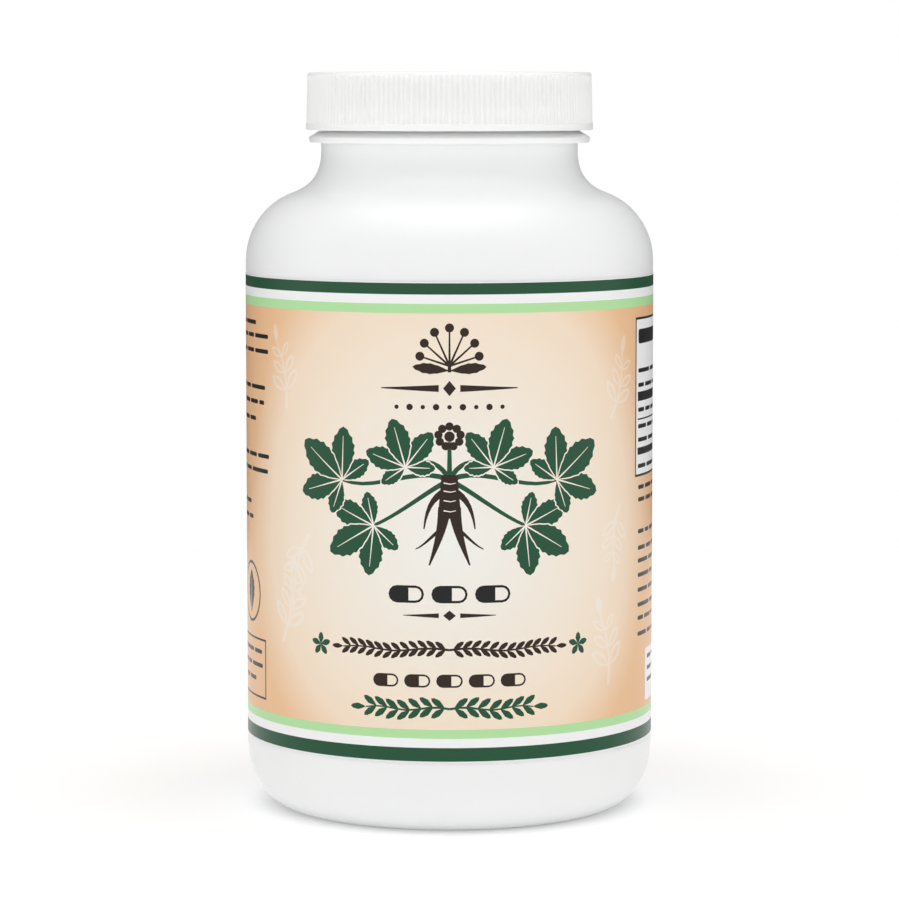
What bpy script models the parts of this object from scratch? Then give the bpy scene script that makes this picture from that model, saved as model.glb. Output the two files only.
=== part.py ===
"""A white supplement bottle of about 500 ml with a ribbed screw cap, its foam liner and a wrap-round label.

The origin is the centre of the foot on the table, +Z is up and the front of the label faces -Y.
Sizes are millimetres, turned into metres where points are made.
"""

import bpy
import bmesh
from math import atan2, cos, hypot, pi, radians, sin, tau
from mathutils import Vector
from mathutils.geometry import interpolate_bezier

MM = 0.001
MERGE = 0.00001
SHARP_ANGLE = radians(30)
BODY_STEPS = 64

# Blow-moulded body
BODY_RADIUS = 39.93
WALL = 1.1
FOOT_RADIUS = 31.6
FOOT_WIDTH = 3.0
PUSH_UP = 3.4
HEEL_HEIGHT = 12.6
SHOULDER_START = 107.02
SHOULDER_TURN_RADIUS = 31.146
SHOULDER_TURN_HEIGHT = 120.247
SHOULDER_SLOPE = radians(21.5)
SHOULDER_PULLS = (6.719, 4.748, 1.984, 6.223)
NECK_START = 128.539
NECK_RADIUS = 25.1
NECK_WALL = 1.9

# Neck finish, 53 mm with one turn of thread; the bead's points are (radius, height)
FINISH_RADIUS = 24.95
RIM_HEIGHT = 141.15
RIM_CHAMFER = 0.4
BEAD_CONE = [(FINISH_RADIUS, 132.75), (27.35, 131.3)]
BEAD_CREST = [(27.5, 130.95), (27.4, 130.45)]
BEAD_UNDERSIDE = [(27.0, 130.2), (NECK_RADIUS, 130.1)]
THREAD_RADIUS = 26.25
THREAD_ROOT_WIDTH = 2.4
THREAD_CREST_WIDTH = 1.0
THREAD_PITCH = 25.4 / 6
THREAD_START_HEIGHT = 134.7
THREAD_TURNS = 1.07
THREAD_RUN_OUT_TURNS = 0.07
THREAD_SINK = 0.45
THREAD_STEPS_PER_TURN = 64

# Label and the shallow panel that it sits in
LABEL_BOTTOM = 14.35
LABEL_TOP = 104.85
LABEL_RADIUS = 40.0
LABEL_THICKNESS = 0.3
LABEL_GAP = 0.3
PANEL_MARGIN = 0.3
PANEL_SLOPE = 0.5

# Moulded cap
RIB_COUNT = 168
RIB_DEPTH = 0.3
CAP_BOTTOM = 132.6
CAP_TOP = 143.8
CAP_BAND_TOP = 133.95
CAP_BAND_STEP = 0.1
CAP_BAND_RADIUS = 28.1
CAP_FOOT_CHAMFER = 0.2
CAP_RIB_RADIUS_LOW = 27.98
CAP_RIB_RADIUS_HIGH = 27.76
CAP_EDGE = 0.6
CAP_CEILING = 142.6
CAP_BORE_RADIUS = 26.55
CAP_BORE_CHAMFER = 0.4
CAP_LEAD_IN = 0.5
CAP_THREAD_RADIUS = 25.3
CAP_THREAD_ROOT_WIDTH = 2.0
CAP_THREAD_CREST_WIDTH = 0.8
CAP_THREAD_DROP = 1.8
CAP_THREAD_START = 110 / 360
CAP_THREAD_TURNS = 0.94
CAP_BORE_STEPS = 84

# Foam liner, loose behind the cap's thread
LINER_RADIUS = 26.0
LINER_BOTTOM = 141.45
LINER_TOP = 142.3

WHITE_BOTTLE = (0.86, 0.87, 0.87, 1.0)
WHITE_CAP = (0.88, 0.88, 0.86, 1.0)
LABEL_PEACH = (0.93, 0.76, 0.58, 1.0)
LINER_WHITE = (0.90, 0.90, 0.88, 1.0)


def clear_scene():
    for old in list(bpy.data.objects):
        bpy.data.objects.remove(old)


def new_collection(name, helpers=False):
    collection = bpy.data.collections.new(name)
    bpy.context.scene.collection.children.link(collection)
    collection.hide_render = helpers
    return collection


def new_object(name, mesh, collection):
    made = bpy.data.objects.new(name, mesh)
    collection.objects.link(made)
    return made


def plastic(name, colour, roughness):
    material = bpy.data.materials.new(name)
    material.use_nodes = True
    shader = material.node_tree.nodes["Principled BSDF"]
    shader.inputs["Base Color"].default_value = colour
    shader.inputs["Roughness"].default_value = roughness
    shader.inputs["Metallic"].default_value = 0.0
    return material


def ellipse_quarter(centre, half_width, half_height, steps):
    """Points (radius, height) from the ellipse's lowest point out to its widest point."""
    turns = [pi / 2 * i / steps for i in range(steps + 1)]
    return [(centre[0] + half_width * sin(a), centre[1] - half_height * cos(a)) for a in turns]


def bezier(start, start_handle, end_handle, end, steps):
    corners = [Vector((r, z, 0.0)) for r, z in (start, start_handle, end_handle, end)]
    return [(p.x, p.y) for p in interpolate_bezier(*corners, steps + 1)]


def shoulder_curve(steps):
    """The S from the body's straight wall over the shoulder and up into the neck."""
    body_pull, over_pull, under_pull, neck_pull = SHOULDER_PULLS
    turn = (SHOULDER_TURN_RADIUS, SHOULDER_TURN_HEIGHT)
    along = (cos(SHOULDER_SLOPE), -sin(SHOULDER_SLOPE))
    over = bezier(
        (BODY_RADIUS, SHOULDER_START),
        (BODY_RADIUS, SHOULDER_START + body_pull),
        (turn[0] + over_pull * along[0], turn[1] + over_pull * along[1]),
        turn,
        steps,
    )
    under = bezier(
        turn,
        (turn[0] - under_pull * along[0], turn[1] - under_pull * along[1]),
        (NECK_RADIUS, NECK_START - neck_pull),
        (NECK_RADIUS, NECK_START),
        steps,
    )
    return over + under[1:]


def heel_curve(steps):
    return ellipse_quarter((FOOT_RADIUS, HEEL_HEIGHT), BODY_RADIUS - FOOT_RADIUS, HEEL_HEIGHT, steps)


def push_up_height(share):
    """Height of the pushed-up base at a share of the way from the axis to the foot ring."""
    return PUSH_UP * cos(pi / 2 * share**2)


def moved_inward(points, thicknesses):
    """Each point moved towards the bottle's inside, square to the path, by its own thickness."""
    moved = []
    for i, (radius, height) in enumerate(points):
        before = points[max(i - 1, 0)]
        after = points[min(i + 1, len(points) - 1)]
        along = (after[0] - before[0], after[1] - before[1])
        length = hypot(*along)
        thickness = thicknesses[i]
        moved.append((radius - along[1] / length * thickness, height + along[0] / length * thickness))
    return moved


def inside_profile():
    """From the centre of the inside floor, out and up the inside wall to the rim."""
    heel = heel_curve(4)
    shoulder = shoulder_curve(4)
    lowest, highest = SHOULDER_START, NECK_START
    shares = [(z - lowest) / (highest - lowest) for _, z in shoulder]
    body_wall = WALL + LABEL_THICKNESS + LABEL_GAP
    walls = [body_wall] * len(heel) + [body_wall + (NECK_WALL - body_wall) * s for s in shares]
    wall = moved_inward(heel + shoulder, walls)
    bore_radius = wall[-1][0]
    floor_radius = FOOT_RADIUS - FOOT_WIDTH
    floor = [(floor_radius * share, push_up_height(share) + WALL) for share in (0.0, 0.35, 0.7)]
    rim = [(bore_radius, RIM_HEIGHT - RIM_CHAMFER), (bore_radius + RIM_CHAMFER, RIM_HEIGHT)]
    return floor + wall + rim


def outside_profile():
    """From the rim down the outer side to the centre of the pushed-up base."""
    rim = [(FINISH_RADIUS - RIM_CHAMFER, RIM_HEIGHT), (FINISH_RADIUS, RIM_HEIGHT - RIM_CHAMFER)]
    bead = BEAD_CONE + BEAD_CREST + BEAD_UNDERSIDE
    shoulder = shoulder_curve(7)[::-1]
    panel_radius = LABEL_RADIUS - LABEL_THICKNESS - LABEL_GAP
    panel_top = LABEL_TOP + PANEL_MARGIN
    panel_bottom = LABEL_BOTTOM - PANEL_MARGIN
    panel = [
        (BODY_RADIUS, panel_top + PANEL_SLOPE),
        (panel_radius, panel_top),
        (panel_radius, panel_bottom),
        (BODY_RADIUS, panel_bottom - PANEL_SLOPE),
    ]
    heel = heel_curve(7)[::-1]
    foot_inner = FOOT_RADIUS - FOOT_WIDTH
    base = [(foot_inner * share, push_up_height(share)) for share in (1.0, 0.9, 0.7, 0.35, 0.0)]
    return rim + bead + shoulder + panel + heel + base


def turned_mesh(name, profile, steps, ring=False):
    """A profile of (radius, height) turned round Z with a Screw modifier, as a mesh.

    A ring's profile joins its last point to its first, and doesn't touch the axis.
    """
    line = bpy.data.meshes.new(name)
    points = [(radius * MM, 0.0, height * MM) for radius, height in profile]
    edges = [(i, i + 1) for i in range(len(points) - 1)]
    if ring:
        edges.append((len(points) - 1, 0))
    line.from_pydata(points, edges, [])
    holder = bpy.data.objects.new(name, line)
    bpy.context.scene.collection.objects.link(holder)
    screw = holder.modifiers.new("Turn", "SCREW")
    screw.steps = steps
    screw.render_steps = steps
    screw.use_merge_vertices = True
    screw.merge_threshold = MERGE
    graph = bpy.context.evaluated_depsgraph_get()
    mesh = bpy.data.meshes.new_from_object(holder.evaluated_get(graph))
    bpy.data.objects.remove(holder)
    mesh.name = name
    return mesh


def thread_mesh(name, wall, crest, height, first_turn, turns, root_width, crest_width):
    """A ridge on a right-hand helix whose ends run out into the wall.

    wall and crest are radii; an inner thread has its crest nearer the axis. height is where the
    helix crosses turn 0, and the ridge runs from first_turn for turns.
    """
    sink = THREAD_SINK if crest > wall else -THREAD_SINK
    count = round(turns * THREAD_STEPS_PER_TURN)
    run_out = THREAD_RUN_OUT_TURNS * THREAD_STEPS_PER_TURN
    mesh = bmesh.new()
    rings = []
    for i in range(count + 1):
        turn = first_turn + (i + 0.5) / THREAD_STEPS_PER_TURN
        rise = min(min(i, count - i) / run_out, 1.0)
        tip = wall - sink / 3 + (crest - wall + sink / 3) * rise
        middle = height + THREAD_PITCH * turn
        corners = [
            (wall - sink, middle - root_width / 2),
            (tip, middle - crest_width / 2),
            (tip, middle + crest_width / 2),
            (wall - sink, middle + root_width / 2),
        ]
        rings.append(
            [
                mesh.verts.new((r * cos(turn * tau) * MM, r * sin(turn * tau) * MM, z * MM))
                for r, z in corners
            ]
        )
    for low, high in zip(rings, rings[1:]):
        for j in range(4):
            mesh.faces.new((low[j], low[(j + 1) % 4], high[(j + 1) % 4], high[j]))
    mesh.faces.new(rings[0])
    mesh.faces.new(rings[-1])
    bmesh.ops.recalc_face_normals(mesh, faces=mesh.faces)
    result = bpy.data.meshes.new(name)
    mesh.to_mesh(result)
    mesh.free()
    return result


def helper(name, mesh, collection):
    made = new_object(name, mesh, collection)
    made.hide_render = True
    made.display_type = "WIRE"
    return made


def combine(target, other, operation):
    step = target.modifiers.new(operation.title(), "BOOLEAN")
    step.operation = operation
    step.object = other
    step.solver = "EXACT"


def make_bottle(collection, helpers):
    mesh = turned_mesh("bottle", inside_profile() + outside_profile(), BODY_STEPS)
    bottle = new_object("bottle", mesh, collection)
    thread = thread_mesh(
        "bottle_thread",
        FINISH_RADIUS,
        THREAD_RADIUS,
        THREAD_START_HEIGHT,
        0.0,
        THREAD_TURNS,
        THREAD_ROOT_WIDTH,
        THREAD_CREST_WIDTH,
    )
    combine(bottle, helper("bottle_thread", thread, helpers), "UNION")
    mesh.materials.append(plastic("bottle_white", WHITE_BOTTLE, 0.35))
    return bottle


def make_label(collection):
    inner = LABEL_RADIUS - LABEL_THICKNESS
    profile = [
        (inner, LABEL_BOTTOM),
        (inner, LABEL_TOP),
        (LABEL_RADIUS, LABEL_TOP),
        (LABEL_RADIUS, LABEL_BOTTOM),
    ]
    mesh = turned_mesh("label", profile, BODY_STEPS, ring=True)
    label = new_object("label", mesh, collection)
    mesh.materials.append(plastic("label_print", LABEL_PEACH, 0.3))
    return label


def make_liner(collection):
    profile = [
        (0.0, LINER_TOP),
        (LINER_RADIUS, LINER_TOP),
        (LINER_RADIUS, LINER_BOTTOM),
        (0.0, LINER_BOTTOM),
    ]
    mesh = turned_mesh("liner", profile, BODY_STEPS)
    liner = new_object("liner", mesh, collection)
    mesh.materials.append(plastic("liner_foam", LINER_WHITE, 0.7))
    return liner


def cap_outline():
    """From the centre of the cap's top, out and down its side, and back to the axis."""
    edge_low = CAP_TOP - CAP_EDGE
    rib_edge = CAP_EDGE * (1 - cos(pi / 4))
    return [
        (0.0, CAP_TOP),
        (CAP_RIB_RADIUS_HIGH - CAP_EDGE, CAP_TOP),
        (CAP_RIB_RADIUS_HIGH - rib_edge, CAP_TOP - rib_edge),
        (CAP_RIB_RADIUS_HIGH, edge_low),
        (CAP_RIB_RADIUS_LOW, CAP_BAND_TOP),
        (CAP_BAND_RADIUS, CAP_BAND_TOP - CAP_BAND_STEP),
        (CAP_BAND_RADIUS, CAP_BOTTOM + CAP_FOOT_CHAMFER),
        (CAP_BAND_RADIUS - CAP_FOOT_CHAMFER, CAP_BOTTOM),
        (0.0, CAP_BOTTOM),
    ]


def press_grooves(mesh):
    """Every second column between the cap's top edge and its smooth band goes in by RIB_DEPTH."""
    low = (CAP_BAND_TOP - CAP_BAND_STEP / 2) * MM
    high = (CAP_TOP - CAP_EDGE / 2) * MM
    columns = RIB_COUNT * 2
    for vertex in mesh.vertices:
        x, y, z = vertex.co
        column = round(atan2(y, x) / tau * columns) % columns
        if low < z < high and column % 2 == 1:
            radius = hypot(x, y)
            share = (radius - RIB_DEPTH * MM) / radius
            vertex.co = (x * share, y * share, z)


def make_cap(collection, helpers):
    mesh = turned_mesh("cap", cap_outline(), RIB_COUNT * 2)
    press_grooves(mesh)
    cap = new_object("cap", mesh, collection)
    below = CAP_BOTTOM - 1.0
    hollow = [
        (0.0, CAP_CEILING),
        (CAP_BORE_RADIUS - CAP_BORE_CHAMFER, CAP_CEILING),
        (CAP_BORE_RADIUS, CAP_CEILING - CAP_BORE_CHAMFER),
        (CAP_BORE_RADIUS, CAP_BOTTOM + CAP_LEAD_IN),
        (CAP_BORE_RADIUS + CAP_LEAD_IN, CAP_BOTTOM),
        (CAP_BORE_RADIUS + CAP_LEAD_IN, below),
        (0.0, below),
    ]
    bore = turned_mesh("cap_hollow", hollow, CAP_BORE_STEPS)
    combine(cap, helper("cap_hollow", bore, helpers), "DIFFERENCE")
    thread = thread_mesh(
        "cap_thread",
        CAP_BORE_RADIUS,
        CAP_THREAD_RADIUS,
        THREAD_START_HEIGHT - CAP_THREAD_DROP,
        CAP_THREAD_START,
        CAP_THREAD_TURNS,
        CAP_THREAD_ROOT_WIDTH,
        CAP_THREAD_CREST_WIDTH,
    )
    combine(cap, helper("cap_thread", thread, helpers), "UNION")
    mesh.materials.append(plastic("cap_white", WHITE_CAP, 0.45))
    return cap


def hang_on(parent_name, collection, *children):
    """An empty on the bottle's axis that carries these pieces."""
    carrier = new_object(parent_name, None, collection)
    for child in children:
        child.parent = carrier
    return carrier


def main():
    clear_scene()
    pieces = new_collection("supplement_bottle")
    helpers = new_collection("cutters", helpers=True)
    bottle = make_bottle(pieces, helpers)
    label = make_label(pieces)
    liner = make_liner(pieces)
    cap = make_cap(pieces, helpers)
    turn_axis = hang_on("cap_turn_axis", pieces, cap)
    lift_axis = hang_on("cap_lift_axis", pieces, liner, turn_axis)
    hang_on("bottle_foot", pieces, bottle, label, lift_axis)
    for piece in (bottle, label, liner, cap):
        piece.data.shade_smooth()
        piece.data.set_sharp_from_angle(angle=SHARP_ANGLE)


main()
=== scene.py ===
import random
from math import ceil, cos, hypot, pi, radians, sin, tan, tau

import bmesh
import bpy
import numpy as np
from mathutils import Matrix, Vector
from mathutils.geometry import delaunay_2d_cdt, interpolate_bezier


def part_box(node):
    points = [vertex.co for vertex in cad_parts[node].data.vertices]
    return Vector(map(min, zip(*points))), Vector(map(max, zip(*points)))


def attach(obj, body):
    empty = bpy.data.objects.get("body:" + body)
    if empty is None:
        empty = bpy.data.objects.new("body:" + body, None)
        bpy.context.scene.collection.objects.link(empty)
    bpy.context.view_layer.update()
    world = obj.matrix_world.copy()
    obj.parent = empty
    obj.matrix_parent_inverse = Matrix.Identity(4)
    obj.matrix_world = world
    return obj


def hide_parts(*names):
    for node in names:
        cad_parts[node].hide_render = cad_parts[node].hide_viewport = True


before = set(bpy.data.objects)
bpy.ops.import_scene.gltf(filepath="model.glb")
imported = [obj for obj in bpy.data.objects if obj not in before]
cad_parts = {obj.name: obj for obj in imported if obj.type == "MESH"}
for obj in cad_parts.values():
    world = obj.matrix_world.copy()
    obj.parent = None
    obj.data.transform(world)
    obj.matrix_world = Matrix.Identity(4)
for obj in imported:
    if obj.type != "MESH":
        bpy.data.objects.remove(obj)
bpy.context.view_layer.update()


# The bottle: white HDPE, blow-moulded in one piece in a two-part mould. It has a pushed-up base, a
# rounded heel, a straight wall with a shallow panel for the label, a rolled shoulder and a neck.
# The neck carries a bead and one turn of thread, and the mould's parting line runs up both sides.
MM = 0.001
WELD = 0.000002
bottle_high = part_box("bottle")[1]
label_low, label_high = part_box("label")
BODY_RADIUS = bottle_high.x / MM
RIM_HEIGHT = bottle_high.z / MM
LABEL_BOTTOM = label_low.z / MM
LABEL_TOP = label_high.z / MM
LABEL_RADIUS = label_high.x / MM
WALL = 1.1
FOOT_RADIUS = 31.6
FOOT_WIDTH = 3.0
PUSH_UP = 3.4
HEEL_HEIGHT = 12.6
PANEL_RADIUS = LABEL_RADIUS - 0.12
PANEL_MARGIN = 0.08
PANEL_SLOPE = 0.15
SHOULDER_START = 107.02
SHOULDER_TURN = (31.146, 120.247)
SHOULDER_SLOPE = radians(21.5)
SHOULDER_PULLS = (6.719, 4.748, 1.984, 6.223)
NECK_START = 128.539
NECK_RADIUS = 25.1
NECK_WALL = 1.9
BEAD_RADIUS = 27.5
BEAD_BOTTOM = 130.1
BEAD_CREST = 131.25
BEAD_TOP = 132.75
FINISH_RADIUS = 24.95
THREAD_HEIGHT = 1.3
THREAD_ROOT_WIDTH = 2.2
THREAD_CREST_WIDTH = 0.9
THREAD_PITCH = 25.4 / 6
THREAD_START_HEIGHT = 134.7
THREAD_TURNS = 1.07
THREAD_RUN_OUT = 0.08
THREAD_ROW = 0.15
PARTING_RISE = 0.045
PARTING_WIDTH = 0.14
PINCH_RISE = 0.16
PINCH_LENGTH = 21.0
PINCH_RUN_OUT = 2.0
ON_WALL_HEIGHTS = (0.0, 20.0, 105.0, 130.0)
ON_WALL_RADII = (31.0, 39.0, 39.0, 24.5)
BOTTLE_COLUMNS = 256
SIDE_CROWDING = 0.45
SMOOTH_TO = 40.0
NEAR = 0.01


def put(tree, kind, inputs=None, **settings):
    """A new node with its settings, and each input given a value or a link from a socket."""
    made = tree.nodes.new(kind)
    for name, value in settings.items():
        setattr(made, name, value)
    for name, value in (inputs or {}).items():
        if isinstance(value, bpy.types.NodeSocket):
            tree.links.new(value, made.inputs[name])
        else:
            made.inputs[name].default_value = value
    return made


def maths(tree, operation, *values):
    """A Math node's result, from numbers or sockets."""
    return put(tree, "ShaderNodeMath", dict(enumerate(values)), operation=operation).outputs["Value"]


def new_piece(name, mesh):
    made = bpy.data.objects.new(name, mesh)
    bpy.context.scene.collection.objects.link(made)
    return made


def shaped(piece, tree, **values):
    """Runs the tree on the piece with these inputs, and leaves the piece a plain mesh."""
    step = piece.modifiers.new("shape", "NODES")
    step.node_group = tree
    for socket in tree.interface.items_tree:
        key = socket.name.lower().replace(" ", "_")
        if socket.in_out == "INPUT" and key in values:
            step[socket.identifier] = values[key]
    graph = bpy.context.evaluated_depsgraph_get()
    mesh = bpy.data.meshes.new_from_object(piece.evaluated_get(graph))
    piece.modifiers.remove(step)
    piece.data = mesh
    return piece


def finished(mesh, sharp_degrees):
    """Welds what touches, points every face outwards, and shades smooth up to that angle."""
    work = bmesh.new()
    work.from_mesh(mesh)
    bmesh.ops.remove_doubles(work, verts=work.verts, dist=WELD)
    bmesh.ops.dissolve_degenerate(work, edges=work.edges, dist=WELD)
    bmesh.ops.recalc_face_normals(work, faces=work.faces)
    work.to_mesh(mesh)
    work.free()
    mesh.shade_smooth()
    mesh.set_sharp_from_angle(angle=radians(sharp_degrees))


def mesh_points(mesh):
    points = np.empty(len(mesh.vertices) * 3, dtype=np.float32)
    mesh.vertices.foreach_get("co", points)
    return points.reshape(-1, 3).astype(float) / MM


def set_mesh_points(mesh, points):
    mesh.vertices.foreach_set("co", (points * MM).astype(np.float32).ravel())
    mesh.update()


def bezier(start, start_handle, end_handle, end, steps):
    corners = [Vector((r, z, 0.0)) for r, z in (start, start_handle, end_handle, end)]
    return [(p.x, p.y) for p in interpolate_bezier(*corners, steps + 1)]


def rounded(corners, steps=4):
    """The path through corners of (radius, height, fillet), each rounded by its fillet."""
    path = []
    for i, (r, z, fillet) in enumerate(corners):
        if fillet == 0.0:
            path.append((r, z))
            continue
        here = Vector((r, z))
        back = (Vector(corners[i - 1][:2]) - here).normalized()
        on = (Vector(corners[i + 1][:2]) - here).normalized()
        half = back.angle(on) / 2
        centre = here + (back + on).normalized() * (fillet / sin(half))
        first = here + back * (fillet / tan(half)) - centre
        last = here + on * (fillet / tan(half)) - centre
        for k in range(steps + 1):
            path.append(tuple(centre + first.slerp(last, k / steps).normalized() * fillet))
    return path


def spread(start, end, spacing):
    """Points along a straight line, no further apart than spacing."""
    count = ceil(hypot(end[0] - start[0], end[1] - start[1]) / spacing)
    shares = [k / count for k in range(count + 1)]
    return [(start[0] + (end[0] - start[0]) * s, start[1] + (end[1] - start[1]) * s) for s in shares]


def moved_inward(path, thicknesses):
    """The path moved square to itself, towards the inside of the bottle, by each thickness."""
    moved = []
    for i, (r, z) in enumerate(path):
        before = path[max(i - 1, 0)]
        after = path[min(i + 1, len(path) - 1)]
        along = Vector((after[0] - before[0], after[1] - before[1])).normalized()
        moved.append((r - along.y * thicknesses[i], z + along.x * thicknesses[i]))
    return moved


def shoulder_path(steps):
    """From the straight wall over the shoulder and up into the neck."""
    body_pull, over_pull, under_pull, neck_pull = SHOULDER_PULLS
    turn_r, turn_z = SHOULDER_TURN
    along_r, along_z = cos(SHOULDER_SLOPE), -sin(SHOULDER_SLOPE)
    over = bezier(
        (BODY_RADIUS, SHOULDER_START),
        (BODY_RADIUS, SHOULDER_START + body_pull),
        (turn_r + over_pull * along_r, turn_z + over_pull * along_z),
        SHOULDER_TURN,
        steps,
    )
    under = bezier(
        SHOULDER_TURN,
        (turn_r - under_pull * along_r, turn_z - under_pull * along_z),
        (NECK_RADIUS, NECK_START - neck_pull),
        (NECK_RADIUS, NECK_START),
        steps,
    )
    return over + under[1:]


def heel_path(steps):
    turns = [pi / 2 * k / steps for k in range(steps + 1)]
    width = BODY_RADIUS - FOOT_RADIUS
    return [(FOOT_RADIUS + width * sin(a), HEEL_HEIGHT * (1.0 - cos(a))) for a in turns]


def push_up_path(steps):
    """From the axis out to the foot ring, under the pushed-up base."""
    inner = FOOT_RADIUS - FOOT_WIDTH
    shares = [k / steps for k in range(steps + 1)]
    return [(inner * s, PUSH_UP * cos(pi / 2 * s * s)) for s in shares]


def bottle_outside():
    """From the middle of the base, out over the heel and up to the top of the thread."""
    panel_low = LABEL_BOTTOM - PANEL_MARGIN
    panel_high = LABEL_TOP + PANEL_MARGIN
    panel = rounded(
        [
            (BODY_RADIUS, panel_low - PANEL_SLOPE, 0.0),
            (PANEL_RADIUS, panel_low, 0.05),
            (PANEL_RADIUS, panel_high, 0.05),
            (BODY_RADIUS, panel_high + PANEL_SLOPE, 0.0),
        ],
        steps=2,
    )
    bead = rounded(
        [
            (NECK_RADIUS, NECK_START, 0.0),
            (NECK_RADIUS, BEAD_BOTTOM, 0.3),
            (BEAD_RADIUS - 0.2, BEAD_BOTTOM + 0.1, 0.25),
            (BEAD_RADIUS, BEAD_CREST, 0.2),
            (FINISH_RADIUS, BEAD_TOP, 0.4),
            (FINISH_RADIUS, BEAD_TOP + 0.6, 0.0),
        ]
    )
    finish = spread((FINISH_RADIUS, BEAD_TOP + 0.6), (FINISH_RADIUS, RIM_HEIGHT - 0.5), THREAD_ROW)
    return push_up_path(20) + heel_path(16) + panel + shoulder_path(20) + bead[1:] + finish[1:]


def bottle_inside():
    """From the top of the rim down the bore and the inside of the wall to the axis."""
    heel = heel_path(8)
    shoulder = shoulder_path(10)
    rise = NECK_START - SHOULDER_START
    walls = [WALL] * len(heel)
    walls += [WALL + (NECK_WALL - WALL) * (z - SHOULDER_START) / rise for _, z in shoulder]
    wall = moved_inward(heel + shoulder, walls)
    floor = [(r, z + WALL) for r, z in push_up_path(10)[:-2]]
    bore = wall[-1][0]
    lip = rounded(
        [
            (FINISH_RADIUS, RIM_HEIGHT - 0.5, 0.0),
            (FINISH_RADIUS, RIM_HEIGHT, 0.35),
            (bore, RIM_HEIGHT, 0.35),
            (bore, RIM_HEIGHT - 1.0, 0.0),
        ]
    )
    return lip[1:] + wall[::-1] + floor[::-1]


def turned_tree():
    """Geometry nodes that turn an outline of (radius, 0, height) points round Z into a shell."""
    tree = bpy.data.node_groups.new("turned_shell", "GeometryNodeTree")
    face = tree.interface
    face.new_socket("Outline", in_out="INPUT", socket_type="NodeSocketGeometry")
    face.new_socket("Columns", in_out="INPUT", socket_type="NodeSocketInt")
    face.new_socket("Side Crowding", in_out="INPUT", socket_type="NodeSocketFloat")
    face.new_socket("Weld Distance", in_out="INPUT", socket_type="NodeSocketFloat")
    face.new_socket("Material", in_out="INPUT", socket_type="NodeSocketMaterial")
    face.new_socket("Shell", in_out="OUTPUT", socket_type="NodeSocketGeometry")
    given = put(tree, "NodeGroupInput").outputs
    size = put(
        tree, "GeometryNodeAttributeDomainSize", {"Geometry": given["Outline"]}, component="MESH"
    )
    lines = maths(tree, "ADD", given["Columns"], 1.0)
    grid = put(
        tree, "GeometryNodeMeshGrid", {"Vertices X": size.outputs["Point Count"], "Vertices Y": lines}
    )
    index = put(tree, "GeometryNodeInputIndex").outputs["Index"]
    row = maths(tree, "FLOOR", maths(tree, "DIVIDE", maths(tree, "ADD", index, 0.5), lines))
    column = maths(tree, "SUBTRACT", index, maths(tree, "MULTIPLY", row, lines))
    place = put(tree, "GeometryNodeInputPosition").outputs["Position"]
    point = put(
        tree,
        "GeometryNodeSampleIndex",
        {"Geometry": given["Outline"], "Value": place, "Index": row},
        data_type="FLOAT_VECTOR",
        domain="POINT",
    )
    outline = put(tree, "ShaderNodeSeparateXYZ", {"Vector": point.outputs["Value"]}).outputs
    even = maths(tree, "DIVIDE", maths(tree, "MULTIPLY", column, tau), given["Columns"])
    wave = maths(tree, "SINE", maths(tree, "MULTIPLY", even, 2.0))
    angle = maths(tree, "SUBTRACT", even, maths(tree, "MULTIPLY", wave, given["Side Crowding"]))
    across = maths(tree, "MULTIPLY", outline["X"], maths(tree, "COSINE", angle))
    deep = maths(tree, "MULTIPLY", outline["X"], maths(tree, "SINE", angle))
    turned = put(tree, "ShaderNodeCombineXYZ", {"X": across, "Y": deep, "Z": outline["Z"]})
    moved = put(
        tree,
        "GeometryNodeSetPosition",
        {"Geometry": grid.outputs["Mesh"], "Position": turned.outputs["Vector"]},
    )
    welded = put(
        tree,
        "GeometryNodeMergeByDistance",
        {"Geometry": moved.outputs["Geometry"], "Distance": given["Weld Distance"]},
    )
    whole = put(tree, "GeometryNodeRealizeInstances", {"Geometry": welded.outputs["Geometry"]})
    dressed = put(
        tree,
        "GeometryNodeSetMaterial",
        {"Geometry": whole.outputs["Geometry"], "Material": given["Material"]},
    )
    put(tree, "NodeGroupOutput", {"Shell": dressed.outputs["Geometry"]})
    return tree


shell_tree = turned_tree()


def turned_piece(name, path, columns, crowding, material):
    """A shell turned from a path of (radius, height) in millimetres, from the axis to the axis."""
    line = bpy.data.meshes.new(name)
    edges = [(i, i + 1) for i in range(len(path) - 1)]
    line.from_pydata([(r * MM, 0.0, z * MM) for r, z in path], edges, [])
    return shaped(
        new_piece(name, line),
        shell_tree,
        columns=columns,
        side_crowding=crowding,
        weld_distance=WELD,
        material=material,
    )


def thread_share(turn, height, start_height, first_turn, turns, root_width, crest_width):
    """How far, from 0 to 1, a thread stands out at each turn round the axis (0 to 1) and height."""
    share = np.zeros_like(height)
    for lap in range(3):
        along = turn + lap
        off = np.abs(height - (start_height + THREAD_PITCH * along))
        flank = np.clip((root_width / 2 - off) / (root_width / 2 - crest_width / 2), 0.0, 1.0)
        left = np.minimum(along - first_turn, first_turn + turns - along)
        fade = np.clip(left / THREAD_RUN_OUT, 0.0, 1.0)
        share = np.maximum(share, flank * flank * (3 - 2 * flank) * fade)
    return share


SOAKED_LIGHT = 0.5
RIPPLE_SCALE = 520.0
RIPPLE_STRENGTH = 0.12
RIPPLE_HEIGHT = 0.06


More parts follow.
